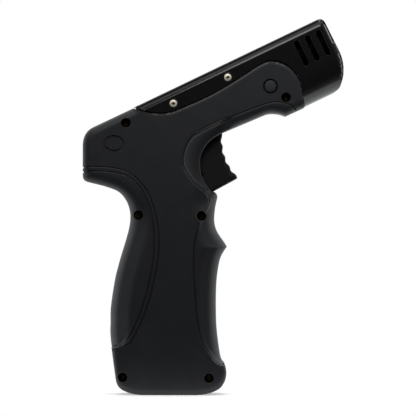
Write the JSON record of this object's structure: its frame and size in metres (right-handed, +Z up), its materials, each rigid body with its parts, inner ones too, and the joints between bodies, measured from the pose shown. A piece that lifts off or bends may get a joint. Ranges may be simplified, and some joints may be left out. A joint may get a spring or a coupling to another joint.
{
  "type": "butane torch",
  "caption": "Pistol-grip butane torch with a tilted barrel, vented glossy hood, ridged sliding trigger, round lock button and a fuel tank in the grip.",
  "frame": {"origin": "centre of the flat foot under the grip, on the plane between the two casing halves", "axes": "+Z up along the grip, +X towards the muzzle, Y across the casing"},
  "size_m": [0.1295, 0.034, 0.1875],
  "materials": {
    "casing": "textured matte",
    "hood": "glossy",
    "trigger": "matte",
    "nylon": "matte",
    "screw": "zinc-plated, yellow passivated",
    "brass": "turned",
    "steel": "satin",
    "tank": "moulded nylon",
    "ceramic": "glazed ceramic",
    "rubber": "matte",
    "hose": "satin",
    "lead": "satin",
    "wick": "woven"
  },
  "bodies": {
    "casing": {"casing_left": "casing", "casing_right": "casing", "base_plate": "nylon", "casing_screw_1": "screw", "casing_screw_2": "screw", "casing_screw_3": "screw", "casing_screw_4": "screw", "casing_screw_5": "screw", "casing_screw_6": "screw", "hood": "hood", "barrel_frame": "nylon", "hood_screw_left_rear": "screw", "hood_screw_left_front": "screw", "hood_screw_right_rear": "screw", "hood_screw_right_front": "screw", "lever_pin": "steel", "piezo_body": "nylon", "ignition_lead": "lead", "insulator": "ceramic", "electrode": "steel", "injector": "brass", "mixing_tube": "brass", "burner_tube": "brass", "flame_holder": "steel", "heat_guard": "steel", "fuel_tank": "tank", "tank_lid": "tank", "wick": "wick", "outlet_valve_body": "brass", "outlet_valve_spring": "steel", "gas_hose": "hose", "refill_valve_body": "brass", "refill_valve_spring": "steel", "refill_seal": "rubber", "adjuster_seal": "rubber"},
    "trigger": {"trigger": "trigger"},
    "piezo_plunger": {"piezo_plunger": "steel"},
    "valve_lever": {"valve_lever": "steel"},
    "outlet_valve_stem": {"outlet_valve_stem": "brass"},
    "lock_button": {"lock_button": "trigger"},
    "refill_valve_stem": {"refill_valve_stem": "brass"},
    "flow_adjuster": {"flow_adjuster": "brass"}
  },
  "joints": [
    {"name": "trigger_pull", "type": "slide", "parent": "casing", "child": "trigger", "axis": [-0.9018, 0, -0.4321], "range_m": [0, 0.007], "stiffness_N_per_m": 900, "springref_m": -0.004},
    {"name": "plunger_push", "type": "slide", "parent": "casing", "child": "piezo_plunger", "axis": [-0.9018, 0, -0.4321], "range_m": [0, 0.007]},
    {"name": "lever_tilt", "type": "hinge", "parent": "casing", "child": "valve_lever", "pos_m": [0.007, 0, 0.097], "axis": [0, -1, 0], "range_deg": [0, 39]},
    {"name": "outlet_valve_press", "type": "slide", "parent": "casing", "child": "outlet_valve_stem", "axis": [0, 0, -1], "range_m": [0, 0.0035], "deforming": ["outlet_valve_spring"]},
    {"name": "lock_press", "type": "slide", "parent": "casing", "child": "lock_button", "axis": [0, 1, 0], "range_m": [0, 0.002], "stiffness_N_per_m": 400, "springref_m": -0.001},
    {"name": "refill_valve_press", "type": "slide", "parent": "casing", "child": "refill_valve_stem", "axis": [0, 0, 1], "range_m": [0, 0.002], "stiffness_N_per_m": 600, "springref_m": -0.001, "deforming": ["refill_valve_spring"]},
    {"name": "flow_adjust", "type": "hinge", "parent": "casing", "child": "flow_adjuster", "pos_m": [0.01, 0, 0.002], "axis": [0, 0, 1], "range_deg": [-150, 150]}
  ],
  "couplings": [
    {"joint": "plunger_push", "follows": "trigger_pull", "ratio": 1},
    {"joint": "lever_tilt", "follows": "trigger_pull", "rad_per_m": 97.1},
    {"joint": "outlet_valve_press", "follows": "trigger_pull", "ratio": 0.5}
  ]
}
